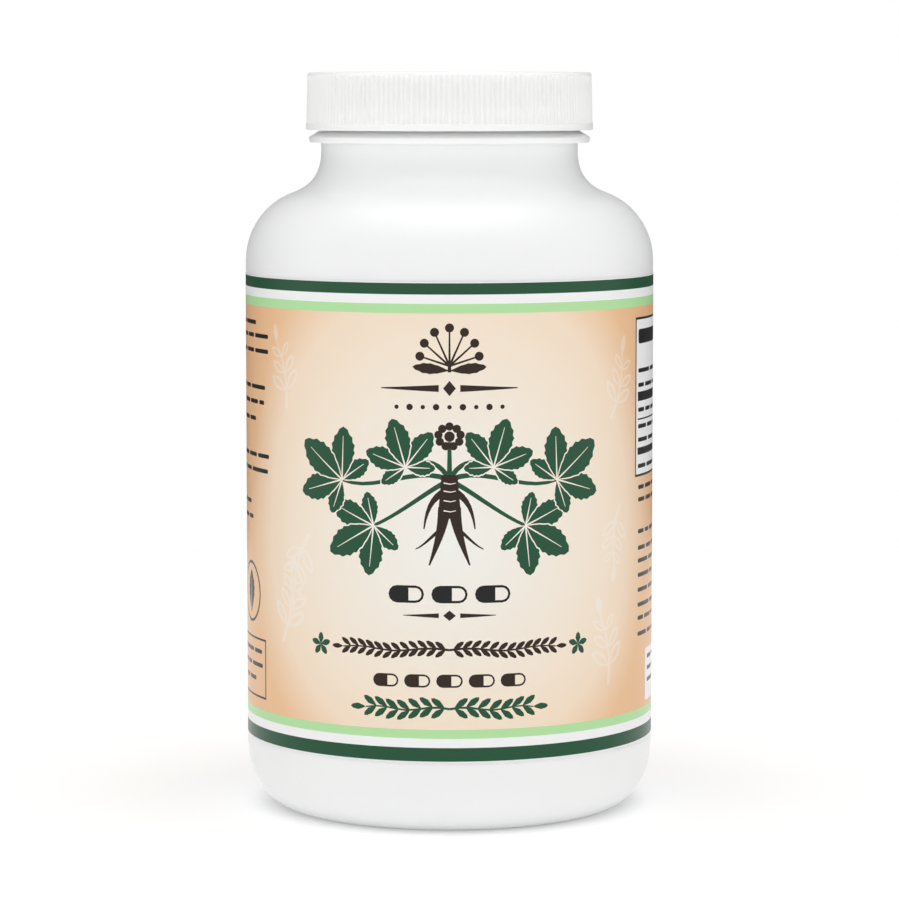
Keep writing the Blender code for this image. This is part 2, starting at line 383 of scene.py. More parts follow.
def plastic(name, dark, light, roughness, cloud_scale, glow_depth):
    """Moulded white plastic: two close whites in soft clouds, with a faint ripple in the gloss.

    Light soaks in and comes out again up to about the glow depth away, in millimetres.
    """
    material = bpy.data.materials.new(name)
    material.use_nodes = True
    tree = material.node_tree
    shader = tree.nodes["Principled BSDF"]
    here = put(tree, "ShaderNodeTexCoord").outputs["Object"]
    cloud = put(tree, "ShaderNodeTexNoise", {"Vector": here, "Scale": cloud_scale, "Detail": 3.0})
    tint = put(tree, "ShaderNodeMix", {"Factor": cloud.outputs["Fac"]}, data_type="RGBA")
    tint.inputs["A"].default_value = dark
    tint.inputs["B"].default_value = light
    shader.inputs["Subsurface Weight"].default_value = SOAKED_LIGHT
    shader.inputs["Subsurface Radius"].default_value = (1.0, 1.0, 1.0)
    shader.inputs["Subsurface Scale"].default_value = glow_depth * MM
    gloss = put(
        tree,
        "ShaderNodeMapRange",
        {"Value": cloud.outputs["Fac"], "To Min": roughness - 0.04, "To Max": roughness + 0.04},
    )
    peel = put(tree, "ShaderNodeTexNoise", {"Vector": here, "Scale": RIPPLE_SCALE, "Detail": 2.0})
    ripple = put(
        tree,
        "ShaderNodeBump",
        {"Height": peel.outputs["Fac"], "Strength": RIPPLE_STRENGTH, "Distance": RIPPLE_HEIGHT * MM},
    )
    tree.links.new(tint.outputs["Result"], shader.inputs["Base Color"])
    tree.links.new(gloss.outputs["Result"], shader.inputs["Roughness"])
    tree.links.new(ripple.outputs["Normal"], shader.inputs["Normal"])
    return material


HDPE_DARK = (0.92, 0.928, 0.93, 1.0)
HDPE_LIGHT = (0.945, 0.95, 0.95, 1.0)
hdpe = plastic(
    "bottle_hdpe", HDPE_DARK, HDPE_LIGHT, roughness=0.3, cloud_scale=45.0, glow_depth=2.5
)
bottle = turned_piece(
    "bottle_shell", bottle_outside() + bottle_inside(), BOTTLE_COLUMNS, SIDE_CROWDING, hdpe
)
points = mesh_points(bottle.data)
radii = np.hypot(points[:, 0], points[:, 1])
turns = np.arctan2(points[:, 1], points[:, 0]) / tau % 1.0
heights = points[:, 2]
stand = np.zeros_like(radii)
on_finish = (np.abs(radii - FINISH_RADIUS) < NEAR) & (heights > BEAD_TOP) & (heights < RIM_HEIGHT - 0.4)
stand[on_finish] = THREAD_HEIGHT * thread_share(
    turns[on_finish],
    heights[on_finish],
    THREAD_START_HEIGHT,
    0.0,
    THREAD_TURNS,
    THREAD_ROOT_WIDTH,
    THREAD_CREST_WIDTH,
)
outside_from = np.interp(heights, ON_WALL_HEIGHTS, ON_WALL_RADII)
on_wall = (heights < BEAD_BOTTOM) & (radii > FOOT_RADIUS + 1.0) & (radii > outside_from)
side = np.exp(-((points[:, 1] / PARTING_WIDTH) ** 2))
stand[on_wall] += PARTING_RISE * side[on_wall]
points[:, :2] *= ((radii + stand) / np.maximum(radii, 0.001))[:, None]
under_base = (heights < PUSH_UP + 0.05) & (radii < FOOT_RADIUS - FOOT_WIDTH)
along_pinch = np.clip((PINCH_LENGTH - np.abs(points[:, 0])) / PINCH_RUN_OUT, 0.0, 1.0)
points[under_base, 2] -= (PINCH_RISE * side * along_pinch)[under_base]
set_mesh_points(bottle.data, points)
finished(bottle.data, SMOOTH_TO)
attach(bottle, "bottle")
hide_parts("bottle")


# The label: one strip of white polypropylene film, printed, glued down in the shallow panel and
# lapped over itself at the back. The print is laid down in order, ink over ink, on the flat strip:
# u runs round the bottle from the middle of the front, z up from the table.
FILM = 0.06
OVERLAP = 8.0
UNDER_RISE = 1.7
AROUND = tau * LABEL_RADIUS
STRIP_END = (AROUND + OVERLAP) / 2
UNDER_END = OVERLAP - STRIP_END
FILM_COLUMNS = 246
EDGE_WHITE = 0.25
PEACH_BOTTOM = 20.65
PEACH_TOP = 98.98
STRIPES = [
    ("dark_green", LABEL_BOTTOM + EDGE_WHITE, 17.19),
    ("light_green", 18.95, PEACH_BOTTOM),
    ("peach", PEACH_BOTTOM, PEACH_TOP),
    ("light_green", PEACH_TOP, 100.76),
    ("dark_green", 102.49, LABEL_TOP - EDGE_WHITE),
]
printed = []


def lay(ink, outline):
    """Prints one closed outline of (u, z) points over what is there already."""
    area = sum(a[0] * b[1] - b[0] * a[1] for a, b in zip(outline, outline[1:] + outline[:1]))
    printed.append((ink, outline if area > 0.0 else outline[::-1]))


def bar(ink, left, right, low, high, corner=0.0):
    """A rectangle, its corners rounded where a radius is given."""
    if corner == 0.0:
        lay(ink, [(left, low), (right, low), (right, high), (left, high)])
        return
    sides = [(right - corner, low + corner), (right - corner, high - corner)]
    sides += [(left + corner, high - corner), (left + corner, low + corner)]
    outline = []
    for k, (u, z) in enumerate(sides):
        turned = [(k - 1 + step / 3) * pi / 2 for step in range(4)]
        outline += [(u + corner * cos(a), z + corner * sin(a)) for a in turned]
    lay(ink, outline)


def disc(ink, u, z, radius, sides=20):
    turned = [tau * k / sides for k in range(sides)]
    lay(ink, [(u + radius * cos(a), z + radius * sin(a)) for a in turned])


def brush(ink, path, start_width, end_width):
    """A stroke along a path of (u, z) points whose width runs from one value to the other."""
    left, right = [], []
    for i, (u, z) in enumerate(path):
        before = path[max(i - 1, 0)]
        after = path[min(i + 1, len(path) - 1)]
        along = Vector((after[0] - before[0], after[1] - before[1])).normalized()
        half = (start_width + (end_width - start_width) * i / (len(path) - 1)) / 2
        left.append((u - along.y * half, z + along.x * half))
        right.append((u + along.y * half, z - along.x * half))
    lay(ink, right + left[::-1])


def leaflet(ink, base, angle, length, width, teeth, keyline=0.0):
    """A pointed leaflet with a saw-toothed edge, from its base at an angle from straight up."""
    along = Vector((sin(angle), cos(angle)))
    across = Vector((cos(angle), -sin(angle)))
    right, left = [], []
    for k in range(1, 2 * teeth):
        share = k / (2 * teeth)
        half = width / 2 * sin(pi * share**1.2) ** 0.8 * (1.05 if k % 2 else 0.93) + keyline
        middle = Vector(base) + along * (length * (share + (0.02 if k % 2 else 0.0)))
        right.append(tuple(middle + across * half))
        left.append(tuple(middle - across * half))
    tip = Vector(base) + along * (length + keyline)
    lay(ink, [tuple(base)] + right + [tuple(tip)] + left[::-1])


def palm_leaf(ink, vein, centre, angle, length):
    """Five leaflets spread like a hand from one point, each with a keyline and a midrib."""
    for spread_angle, share in ((-108, 0.6), (108, 0.6), (-54, 0.88), (54, 0.88), (0, 1.0)):
        turned = angle + radians(spread_angle)
        reach = length * share
        width = reach * 0.5
        leaflet(vein, centre, turned, reach, width, 7, keyline=0.28)
        leaflet(ink, centre, turned, reach, width, 7)
        end = Vector(centre) + Vector((sin(turned), cos(turned))) * (reach * 0.82)
        brush(vein, [centre, tuple(end)], 0.34, 0.1)


def lozenge(ink, u, z, width, height):
    lay(ink, [(u + width / 2, z), (u, z + height / 2), (u - width / 2, z), (u, z - height / 2)])


def swelled_rule(ink, u, z, reach, thickness):
    """A rule that tapers both ways from a lozenge in its middle."""
    for sign in (-1, 1):
        brush(ink, [(u + sign * 2.0, z), (u + sign * reach, z)], thickness, thickness * 0.15)
    lozenge(ink, u, z, 2.4, thickness * 2.2)


def capsule(ink, inside, u, z, length, height):
    """A two-part capsule, one half solid and the other in outline."""
    bar(ink, u - length / 2, u + length / 2, z - height / 2, z + height / 2, height * 0.49)
    rim = height * 0.14
    radius = height / 2 - rim
    centre = u + length / 2 - height / 2
    turned = [pi * (k / 8 - 0.5) for k in range(9)]
    dome = [(centre + radius * cos(a), z + radius * sin(a)) for a in turned]
    lay(inside, [(u + rim, z - radius), *dome, (u + rim, z + radius)])


STEM_SHARES = [k / 8 for k in range(9)]


def laurel(ink, u, z, reach, leaf):
    """Two leafy branches that grow out from the middle of a line."""
    pairs = round(reach / (leaf * 0.7))
    for sign in (-1, 1):
        stem = [(u + sign * reach * s, z + 0.3 * sin(3 * pi * s)) for s in STEM_SHARES]
        brush(ink, stem, 0.45, 0.25)
        for k in range(pairs):
            share = (k + 0.4) / (pairs + 0.4)
            joint = (u + sign * reach * share, z + 0.3 * sin(3 * pi * share))
            for side in (-1, 1):
                leaflet(ink, joint, sign * radians(90 - side * 36), leaf, leaf * 0.38, 3)
        leaflet(ink, stem[-1], sign * radians(90), leaf, leaf * 0.38, 3)


SMALL_PRINT = 1.1
SHORTEST_WORD = 2.6 * SMALL_PRINT
LONGEST_WORD = 7.0 * SMALL_PRINT
WORD_GAP = 0.7 * SMALL_PRINT
small_print_lengths = random.Random(23)


def words(left, right, z):
    """A line of small print as plain black bars, in the lengths and spaces that words have."""
    half = SMALL_PRINT * 0.37
    start = left
    while start < right - SMALL_PRINT:
        end = min(start + small_print_lengths.uniform(SHORTEST_WORD, LONGEST_WORD), right)
        if right - end < SHORTEST_WORD:
            end = right
        bar("black", start, end, z - half, z + half, SMALL_PRINT * 0.3)
        start = end + WORD_GAP


def tracery_sprig(u, z, angle, length):
    """A pale stem with three pairs of outlined leaves, printed as a faint ground pattern."""
    along = Vector((sin(angle), cos(angle)))
    across = Vector((cos(angle), -sin(angle)))
    root = Vector((u, z))
    bend = [tuple(root + along * (length * s) + across * (1.2 * sin(pi * s))) for s in STEM_SHARES]
    brush("pale", bend, 0.8, 0.35)
    for share in (0.25, 0.5, 0.75):
        joint = root + along * (length * share) + across * (1.2 * sin(pi * share))
        for sign in (-1, 1):
            turned = angle + sign * radians(48)
            reach = length * 0.42 * (1.15 - share * 0.6)
            leaflet("pale", tuple(joint), turned, reach, reach * 0.42, 4)
            inner = joint + Vector((sin(turned), cos(turned))) * (reach * 0.16)
            leaflet("peach", tuple(inner), turned, reach * 0.68, reach * 0.2, 4)
    tip = root + along * (length * 0.97)
    leaflet("pale", tuple(tip), angle, length * 0.3, length * 0.13, 4)


# Ground: the stripes, and pale sprigs on the peach between them
for ink, low, high in STRIPES:
    bar(ink, -STRIP_END, STRIP_END, low, high)

for u, z, angle, length in (
    (-35.5, 80.0, -14, 13.0),
    (-29.0, 56.5, 200, 13.0),
    (-37.0, 35.0, 12, 14.0),
    (35.0, 78.0, 16, 13.0),
    (38.0, 61.5, 188, 12.0),
    (34.5, 27.0, -10, 14.0),
    (-98.0, 72.0, 14, 15.0),
    (-104.0, 46.0, 196, 14.0),
    (99.0, 76.0, -14, 15.0),
    (104.0, 44.0, 170, 14.0),
    (112.0, 80.0, 10, 12.0),
    (-113.0, 62.0, -10, 12.0),
):
    tracery_sprig(u, z, radians(angle), length)

# Spray of berries over two leaves, with a rule and a row of dots under it, in brown
SPRAY = (0.0, 89.2)
for k in range(7):
    turned = radians(-72 + 24 * k)
    reach = 6.4 + 0.7 * cos(turned * 2)
    berry = (SPRAY[0] + reach * sin(turned), SPRAY[1] + reach * cos(turned))
    brush("brown", [SPRAY, berry], 0.42, 0.3)
    disc("brown", berry[0], berry[1], 0.85)
brush("brown", [(SPRAY[0], 88.0), (SPRAY[0], 90.0)], 0.7, 0.55)
for sign in (-1, 1):
    leaflet("brown", (SPRAY[0], 88.3), sign * radians(84), 7.0, 2.0, 5)
swelled_rule("brown", 0.0, 85.0, 13.0, 1.3)
for k in range(9):
    disc("brown", 2.5 * (k - 4), 81.5, 0.62 if k % 2 else 0.42, 12)

# Botanical ornament: a forked root under three pairs of five-fingered leaves and a head of berries
CROWN = (0.0, 67.8)
LEAF_PLACES = (
    ((8.3, 70.2), 16, 9.4, (2.0, 72.0), (5.5, 71.8)),
    ((21.2, 67.4), 52, 11.4, (6.0, 71.0), (14.0, 65.0)),
    ((14.6, 59.0), 120, 10.8, (4.0, 66.0), (9.0, 61.5)),
)
for centre, angle, length, pull, push in LEAF_PLACES:
    for sign in (-1, 1):
        stalk = [CROWN] + [(sign * u, z) for u, z in (pull, push, centre)]
        brush("dark_green", bezier(*stalk, 10), 1.0, 0.6)
for centre, angle, length, pull, push in reversed(LEAF_PLACES):
    for sign in (-1, 1):
        palm_leaf("dark_green", "peach", (sign * centre[0], centre[1]), sign * radians(angle), length)
brush("dark_green", [CROWN, (0.0, 75.0)], 1.0, 0.7)
for k in range(9):
    turned = tau * k / 9
    disc("brown", 2.1 * sin(turned), 76.0 + 1.9 * cos(turned), 0.8, 12)
disc("brown", 0.0, 76.0, 1.0, 12)
brush("brown", [(0.0, 68.8), (0.0, 64.7), (0.0, 60.6)], 3.0, 4.4)
for sign in (-1, 1):
    leg = bezier((sign * 0.9, 62.6), (sign * 1.4, 58.2), (sign * 2.4, 55.6), (sign * 3.8, 51.8), 8)
    brush("brown", leg, 2.5, 0.3)
    arm = bezier((sign * 1.4, 65.4), (sign * 3.4, 64.2), (sign * 4.4, 62.0), (sign * 4.8, 58.6), 6)
    brush("brown", arm, 1.4, 0.25)
    hair = bezier((sign * 1.9, 58.4), (sign * 3.6, 57.0), (sign * 4.9, 55.4), (sign * 6.4, 54.8), 5)
    brush("brown", hair, 0.7, 0.2)
for z in (67.3, 65.8, 64.0, 62.1):
    brush("peach", [(-1.1, z), (0.2, z - 0.22), (1.2, z)], 0.24, 0.12)

# Lower front: rows of capsules, a rule, a laurel between two rosettes, and a green laurel
for k in range(3):
    capsule("black", "peach", 8.2 * (k - 1), 46.3, 6.8, 3.3)
swelled_rule("brown", 0.0, 42.3, 8.8, 0.9)
for sign in (-1, 1):
    for k in range(5):
        leaflet("dark_green", (sign * 26.2, 35.8), tau * k / 5, 2.3, 1.2, 3)
laurel("brown", 0.0, 35.8, 21.0, 2.5)
for k in range(5):
    capsule("brown", "peach", 6.1 * (k - 2), 29.9, 5.0, 2.5)
laurel("dark_green", 0.0, 24.6, 16.2, 3.2)

# Ruled box on the right, white in a black frame, with its heading and rows as plain bars
RULED_LEFT = 44.2
RULED_RIGHT = 86.0
bar("black", RULED_LEFT, RULED_RIGHT, 66.1, 96.9)
bar("white", RULED_LEFT + 0.45, RULED_RIGHT - 0.45, 66.55, 96.45)
for left, right in ((RULED_LEFT + 1.4, 67.2), (69.0, RULED_RIGHT - 1.4)):
    bar("black", left, right, 91.8, 94.6, 0.6)
for low, high in ((80.7, 82.5), (70.3, 71.7), (77.05, 77.35)):
    bar("black", RULED_LEFT + 1.2, RULED_RIGHT - 1.2, low, high)
for z, end in ((86.6, 71.0), (83.8, 66.0), (79.0, 84.0), (75.8, 78.0), (73.2, 69.0), (68.1, 83.0)):
    words(RULED_LEFT + 1.4, end, z)

# Lines of bars under the ruled box, and a white box under them
for z, end in (
    (64.0, 84.5), (61.6, 73.0), (55.4, 85.0), (52.2, 86.0), (49.7, 84.0), (46.9, 85.5),
    (44.0, 85.0), (41.1, 86.0), (38.5, 84.0), (35.4, 66.0),
):
    words(RULED_LEFT + 1.6, end, z)
bar("white", 50.7, 85.0, 21.7, 32.0, 0.5)
for z, end in ((30.2, 76.0), (27.9, 79.0), (25.6, 72.0)):
    words(52.2, end, z)

# Lines of bars on the left, with three leaves in rings and a ruled box under them
for z, start, end in (
    (95.8, -86.0, -48.1), (93.3, -85.0, -42.1), (90.4, -86.0, -42.1), (83.4, -85.5, -43.5),
    (80.5, -86.0, -44.0), (77.2, -85.0, -48.4), (70.2, -86.0, -41.9), (67.3, -85.0, -42.4),
    (60.8, -86.0, -52.0), (57.9, -85.0, -50.5),
):
    words(start, end, z)
for u in (-52.2, -66.0, -79.8):
    disc("black", u, 43.15, 6.0, 48)
    disc("peach", u, 43.15, 5.45, 48)
    leaflet("black", (u, 38.9), 0.0, 8.4, 4.4, 6)
    brush("peach", [(u, 39.6), (u, 45.6)], 0.45, 0.15)
bar("black", -86.0, -43.6, 22.8, 34.5)
bar("peach", -85.6, -44.0, 23.2, 34.1)
for z, start, end in ((31.9, -84.0, -45.6), (29.2, -83.0, -45.2), (26.4, -80.0, -49.0)):
    words(start, end, z)


def strip_border():
    """The strip's edge in (u, z), anticlockwise, with a point at every column and stripe."""
    across = [-STRIP_END + 2 * STRIP_END * k / FILM_COLUMNS for k in range(FILM_COLUMNS + 1)]
    levels = sorted({z for _, low, high in STRIPES for z in (low, high)})
    border = [(u, LABEL_BOTTOM) for u in across]
    border += [(STRIP_END, z) for z in levels]
    border += [(u, LABEL_TOP) for u in reversed(across)]
    border += [(-STRIP_END, z) for z in reversed(levels)]
    return border


def cut_flat(border, outlines):
    """Triangles of the flat strip cut along every column and outline, with the top ink of each."""
    verts = [Vector(p) for p in border]
    side_points = len(border) // 2 - (FILM_COLUMNS + 1)
    above_start = len(border) - side_points - 1
    lines = [(k, above_start - k) for k in range(1, FILM_COLUMNS)]
    faces = [list(range(len(border)))]
    for outline in outlines:
        faces.append(list(range(len(verts), len(verts) + len(outline))))
        verts += [Vector(p) for p in outline]
    found = delaunay_2d_cdt(verts, lines, faces, 1, 0.0001, True)
    flat, triangles, sources = found[0], found[2], found[5]
    return [(p.x, p.y) for p in flat], triangles, [max(s) for s in sources]


def film_radius(u):
    """The film's outer surface, which dips under its own end where the strip begins."""
    share = min(max((u - UNDER_END) / UNDER_RISE, 0.0), 1.0)
    return LABEL_RADIUS - FILM * (1.0 - share * share * (3.0 - 2.0 * share))


def on_bottle(u, z, lift):
    """The point (u, z) of the strip wrapped round the bottle, lifted off its outer surface."""
    turned = u / LABEL_RADIUS
    radius = (film_radius(u) + lift) * MM
    return (radius * sin(turned), -radius * cos(turned), z * MM)


FILM_ROUGHNESS = 0.3
FILM_GLOSS = 0.25


def film(name, colour, roughness=FILM_ROUGHNESS):
    """Ink on satin film."""
    material = bpy.data.materials.new(name)
    material.use_nodes = True
    shader = material.node_tree.nodes["Principled BSDF"]
    shader.inputs["Base Color"].default_value = (*colour, 1.0)
    shader.inputs["Roughness"].default_value = roughness
    shader.inputs["Specular IOR Level"].default_value = FILM_GLOSS
    return material


PEACH_STOPS = [
    (0.0, (0.845, 0.840, 0.800)),
    (23.0, (0.855, 0.770, 0.665)),
    (31.0, (0.862, 0.742, 0.605)),
    (40.5, (0.858, 0.690, 0.528)),
    (50.0, (0.802, 0.508, 0.287)),
    (62.0, (0.795, 0.458, 0.246)),
]
PEACH_MIDDLE = 56.0
PEACH_REACH = 62.0
PEACH_UPWARD = 0.82
VEIL_WHITE = (0.88, 0.87, 0.85, 1.0)


def peach_film(name, veil):
    """The label's ground, cream in the middle of the front and deepening to peach round it.

    The veil is a share of white over it, for the pale ground pattern.
    """
    material = film(name, PEACH_STOPS[0][1])
    tree = material.node_tree
    shader = tree.nodes["Principled BSDF"]
    flat = put(tree, "ShaderNodeUVMap", uv_map="strip").outputs["UV"]
    place = put(tree, "ShaderNodeSeparateXYZ", {"Vector": flat}).outputs
    aside = maths(tree, "MULTIPLY", maths(tree, "SUBTRACT", place["X"], 0.5), 2 * STRIP_END)
    above = maths(tree, "MULTIPLY", place["Y"], LABEL_TOP - LABEL_BOTTOM)
    rise = maths(tree, "ADD", above, LABEL_BOTTOM - PEACH_MIDDLE)
    upper = maths(tree, "MULTIPLY", maths(tree, "MAXIMUM", rise, 0.0), PEACH_UPWARD)
    lower = maths(tree, "MINIMUM", rise, 0.0)
    tall = maths(tree, "ADD", upper, lower)
    square_aside = maths(tree, "MULTIPLY", aside, aside)
    square_tall = maths(tree, "MULTIPLY", tall, tall)
    distance = maths(tree, "SQRT", maths(tree, "ADD", square_aside, square_tall))
    share = maths(tree, "DIVIDE", distance, PEACH_REACH)
    ramp = put(tree, "ShaderNodeValToRGB", {"Fac": share})
    stops = ramp.color_ramp.elements
    while len(stops) < len(PEACH_STOPS):
        stops.new(0.5)
    for stop, (reach, colour) in zip(stops, PEACH_STOPS):
        stop.position = reach / PEACH_REACH
        stop.color = (*colour, 1.0)
    ground = ramp.outputs["Color"]
    if veil:
        mixed = put(tree, "ShaderNodeMix", data_type="RGBA")
        mixed.inputs["Factor"].default_value = veil
        mixed.inputs["B"].default_value = VEIL_WHITE
        tree.links.new(ground, mixed.inputs["A"])
        ground = mixed.outputs["Result"]
    tree.links.new(ground, shader.inputs["Base Color"])
    return material


inks = {
    "white": film("film_white", (0.86, 0.86, 0.865)),
    "dark_green": film("ink_dark_green", (0.011, 0.075, 0.033)),
    "light_green": film("ink_light_green", (0.43, 0.72, 0.35)),
    "peach": peach_film("ink_peach", 0.0),
    "pale": peach_film("ink_pale_pattern", 0.3),
    "brown": film("ink_brown", (0.025, 0.011, 0.006)),
    "black": film("ink_black", (0.008, 0.008, 0.008)),
}
ink_order = list(inks)
border = strip_border()
outer_flat, outer_cuts, outer_top = cut_flat(border, [outline for _, outline in printed])
inner_flat, inner_cuts, _ = cut_flat(border, [])
face_inks = [0] + [ink_order.index(ink) for ink, _ in printed]

flat_places = outer_flat + inner_flat + border + border
lifts = [0.0] * len(outer_flat) + [-FILM] * len(inner_flat)
lifts += [0.0] * len(border) + [-FILM] * len(border)
faces = [list(t) for t in outer_cuts]
slots = [face_inks[source] for source in outer_top]
faces += [[v + len(outer_flat) for v in reversed(t)] for t in inner_cuts]
slots += [0] * len(inner_cuts)
first = len(outer_flat) + len(inner_flat)
for k in range(len(border)):
    on = (k + 1) % len(border)
    faces.append([first + k, first + len(border) + k, first + len(border) + on, first + on])
    slots.append(0)
label_mesh = bpy.data.meshes.new("label_film")
wrapped = [on_bottle(u, z, lift) for (u, z), lift in zip(flat_places, lifts)]
label_mesh.from_pydata(wrapped, [], faces)
for ink in inks.values():
    label_mesh.materials.append(ink)
label_mesh.polygons.foreach_set("material_index", slots)
strip = label_mesh.uv_layers.new(name="strip")
corners = np.empty(len(label_mesh.loops), dtype=np.int32)
label_mesh.loops.foreach_get("vertex_index", corners)
flat_array = np.array(flat_places)[corners]
flat_array[:, 0] = flat_array[:, 0] / (2 * STRIP_END) + 0.5
flat_array[:, 1] = (flat_array[:, 1] - LABEL_BOTTOM) / (LABEL_TOP - LABEL_BOTTOM)
strip.uv.foreach_set("vector", flat_array.astype(np.float32).ravel())
finished(label_mesh, SMOOTH_TO)
label = new_piece("label_film", label_mesh)
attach(label, "bottle")
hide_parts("label")


# The liner: a disc of white foamed polyethylene, stamped from sheet and held loose in the cap by
# the thread, so it lifts with the cap and seals on the bottle's rim.
liner_low, liner_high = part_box("liner")
LINER_RADIUS = liner_high.x / MM
LINER_BOTTOM = liner_low.z / MM
LINER_TOP = liner_high.z / MM
LINER_EDGE = 0.12

FOAM_DARK = (0.80, 0.80, 0.78, 1.0)
FOAM_LIGHT = (0.88, 0.88, 0.86, 1.0)
foam = plastic(
    "liner_foam", FOAM_DARK, FOAM_LIGHT, roughness=0.7, cloud_scale=900.0, glow_depth=0.5
)
liner_path = rounded(
    [
        (0.0, LINER_BOTTOM, 0.0),
        (LINER_RADIUS, LINER_BOTTOM, LINER_EDGE),
        (LINER_RADIUS, LINER_TOP, LINER_EDGE),
        (0.0, LINER_TOP, 0.0),
    ]
)
liner = turned_piece("liner_disc", liner_path, 96, 0.0, foam)
finished(liner.data, SMOOTH_TO)
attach(liner, "liner")
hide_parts("liner")


# The cap: white polypropylene, injection-moulded, with fine straight ribs for grip between a
# rounded top edge and a smooth band at the foot. Inside are a flat ceiling for the liner and one
# turn of thread, and a gate mark sits in the middle of the top.
cap_low, cap_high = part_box("cap")
CAP_BOTTOM = cap_low.z / MM
CAP_TOP = cap_high.z / MM
BAND_RADIUS = cap_high.x / MM
BAND_TOP = CAP_BOTTOM + 1.35
BAND_EDGE = 0.08
RIB_COUNT = 168
RIB_DEPTH = 0.22
RIB_RADIUS_LOW = 27.98
RIB_RADIUS_HIGH = 27.76
CAP_EDGE = 0.6
CAP_CEILING = 142.6
BORE_RADIUS = 26.55
BORE_CHAMFER = 0.4
LEAD_IN = 0.5
FOOT_CHAMFER = 0.2
TOP_RECESS = 0.08
TOP_RECESS_RADIUS = 25.4
TOP_LAND_END = RIB_RADIUS_HIGH - CAP_EDGE
GATE_ROWS = (
    (0.0, -0.02), (0.5, -0.03), (0.7, -0.22), (0.9, -0.25),
    (1.6, -0.25), (1.9, -0.05), (2.05, 0.0), (2.4, 0.0),
)
CAP_THREAD_HEIGHT = BORE_RADIUS - 25.3
CAP_THREAD_ROOT_WIDTH = 2.0
CAP_THREAD_CREST_WIDTH = 0.8
CAP_THREAD_DROP = 1.8
CAP_THREAD_START = 110 / 360
CAP_THREAD_TURNS = 0.94
RIB_SHARES = (-0.5, -0.4, -0.32, -0.22, -0.1, 0.1, 0.22, 0.32, 0.4, 0.5)
PLAIN_SHARES = (-0.5, 0.5)
CAP_SMOOTH_TO = 35.0


def cap_top_rows():
    """Smooth rows from the gate mark out over the recess and the land round it."""
    low = CAP_TOP - TOP_RECESS
    path = [(radius, low + rise) for radius, rise in GATE_ROWS]
    path += [(TOP_RECESS_RADIUS - 0.5, low), (TOP_RECESS_RADIUS - 0.12, low)]
    path += [(TOP_RECESS_RADIUS, CAP_TOP), (TOP_RECESS_RADIUS + 0.3, CAP_TOP)]
    return path + [(TOP_LAND_END - 0.3, CAP_TOP), (TOP_LAND_END, CAP_TOP)]


def cap_rib_rows():
    """Rows of (radius, height, groove) down the ribbed wall, a groove of 1 being full depth."""
    centre_z = CAP_TOP - CAP_EDGE
    arc = [radians(90 - 22.5 * k) for k in range(1, 5)]
    rows = [(TOP_LAND_END + CAP_EDGE * cos(a), centre_z + CAP_EDGE * sin(a), 0.0) for a in arc]
    for drop, groove in ((0.12, 0.35), (0.26, 0.75), (0.45, 0.95), (0.7, 1.0)):
        rows.append((RIB_RADIUS_HIGH, centre_z - drop, groove))
    rows.append((RIB_RADIUS_LOW, BAND_TOP, 1.0))
    rows.append((BAND_RADIUS - BAND_EDGE, BAND_TOP, 0.0))
    return rows


def cap_inner_rows():
    """Smooth rows down the band, round the foot and up the bore to the middle of the ceiling."""
    path = [(BAND_RADIUS, BAND_TOP - BAND_EDGE), (BAND_RADIUS, CAP_BOTTOM + FOOT_CHAMFER)]
    path += [(BAND_RADIUS - FOOT_CHAMFER, CAP_BOTTOM), (BORE_RADIUS + LEAD_IN, CAP_BOTTOM)]
    bore_low = (BORE_RADIUS, CAP_BOTTOM + LEAD_IN)
    bore_high = (BORE_RADIUS, CAP_CEILING - BORE_CHAMFER)
    path += spread(bore_low, bore_high, THREAD_ROW)
    return path + [(BORE_RADIUS - BORE_CHAMFER, CAP_CEILING), (0.0, CAP_CEILING)]


def groove_depth(share):
    """How deep the wall goes in at a share of the pitch from the middle of a rib."""
    slope = min(max((abs(share) - 0.12) / 0.3, 0.0), 1.0)
    return RIB_DEPTH * slope * slope * (3.0 - 2.0 * slope)


def cap_wedge():
    """One rib's slice of the cap, from the middle of the top round to the middle of the ceiling."""
    pitch = tau / RIB_COUNT
    points = []
    faces = []
    rows = []

    def add_row(radius, height, shares, groove):
        row = []
        for share in shares:
            r = (radius - groove * groove_depth(share)) * MM
            row.append(len(points))
            points.append((r * cos(share * pitch), r * sin(share * pitch), height * MM))
        rows.append(row)

    for radius, height in cap_top_rows():
        add_row(radius, height, PLAIN_SHARES, 0.0)
    for radius, height, groove in cap_rib_rows():
        add_row(radius, height, RIB_SHARES, groove)
    for radius, height in cap_inner_rows():
        add_row(radius, height, PLAIN_SHARES, 0.0)
    for above, below in zip(rows, rows[1:]):
        if len(above) == len(below):
            for k in range(len(above) - 1):
                faces.append((above[k], below[k], below[k + 1], above[k + 1]))
        elif len(above) < len(below):
            faces.append((above[0], *below, above[1]))
        else:
            faces.append((*above[::-1], below[0], below[1]))
    mesh = bpy.data.meshes.new("cap_wedge")
    mesh.from_pydata(points, [], faces)
    return mesh


